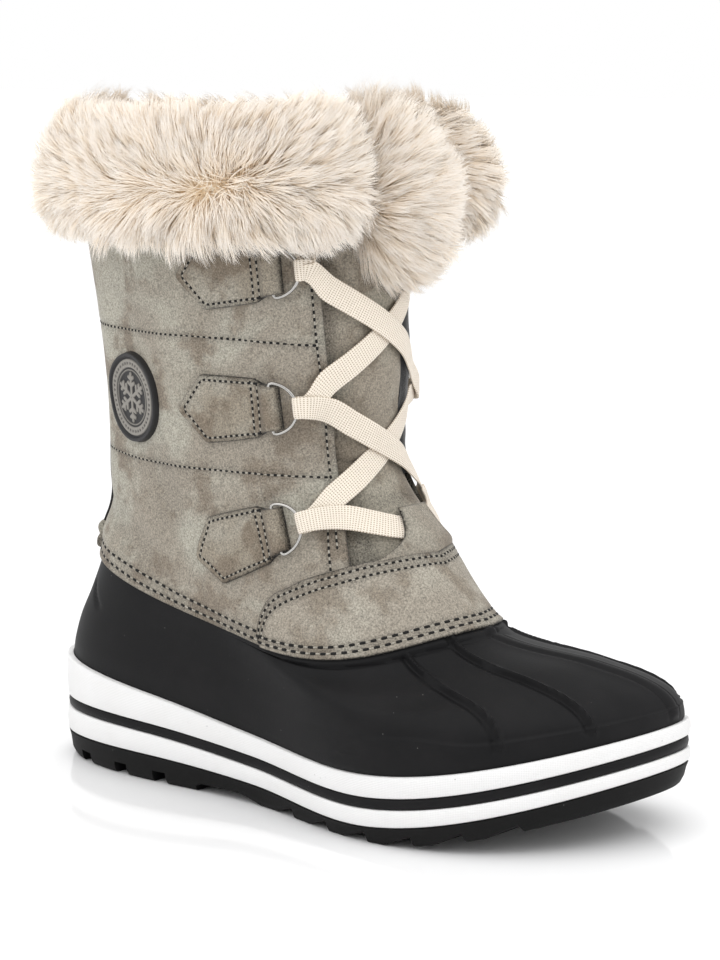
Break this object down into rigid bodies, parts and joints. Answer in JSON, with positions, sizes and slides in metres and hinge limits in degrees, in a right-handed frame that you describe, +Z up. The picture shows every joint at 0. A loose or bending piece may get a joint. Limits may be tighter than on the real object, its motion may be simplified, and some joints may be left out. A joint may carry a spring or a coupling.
{
  "type": "snow boot",
  "caption": "Right snow boot with a moulded rubber shell on a banded cup sole, a nubuck shaft laced through wire rings, and a deep fur cuff with fur on the tongue.",
  "frame": {"origin": "centre of the bounding box on the floor plane, under the arch", "axes": "+X to the toe, +Y to the inner side of the foot, +Z up"},
  "size_m": [0.283, 0.1346, 0.2833],
  "materials": {
    "black_rubber": "matt moulded rubber",
    "white_rubber": "fine diagonal grain on the wall",
    "stripe_rubber": "satin",
    "shell_rubber": "matt moulded rubber",
    "fleece": "short pile",
    "shaft_leather": "brushed nubuck, mottled",
    "vamp_leather": "brushed nubuck, mottled",
    "tongue_leather": "brushed nubuck, mottled",
    "keeper_leather": "brushed nubuck",
    "tab_leather": "brushed nubuck, dark stitching",
    "backstay_band": "woven tape",
    "badge_rubber": "moulded relief",
    "lace_webbing": "flat herringbone braid",
    "ring_wire": "bright wire",
    "cuff_fur": "deep pile",
    "tongue_fur": "deep pile"
  },
  "bodies": {
    "root": {"outsole": "black_rubber", "midsole": "white_rubber", "midsole_stripe": "stripe_rubber", "insole": "fleece", "shell": "shell_rubber", "shaft": "shaft_leather", "vamp": "vamp_leather", "tongue": "tongue_leather", "lace_keeper": "keeper_leather", "backstay": "backstay_band", "badge": "badge_rubber", "lace": "lace_webbing", "fur_cuff": "cuff_fur", "fur_tongue": "tongue_fur", "tab_outer_top": "tab_leather", "ring_outer_top": "ring_wire", "tab_outer_middle": "tab_leather", "ring_outer_middle": "ring_wire", "tab_outer_bottom": "tab_leather", "ring_outer_bottom": "ring_wire", "tab_inner_top": "tab_leather", "ring_inner_top": "ring_wire", "tab_inner_middle": "tab_leather", "ring_inner_middle": "ring_wire", "tab_inner_bottom": "tab_leather", "ring_inner_bottom": "ring_wire"}
  },
  "joints": []
}
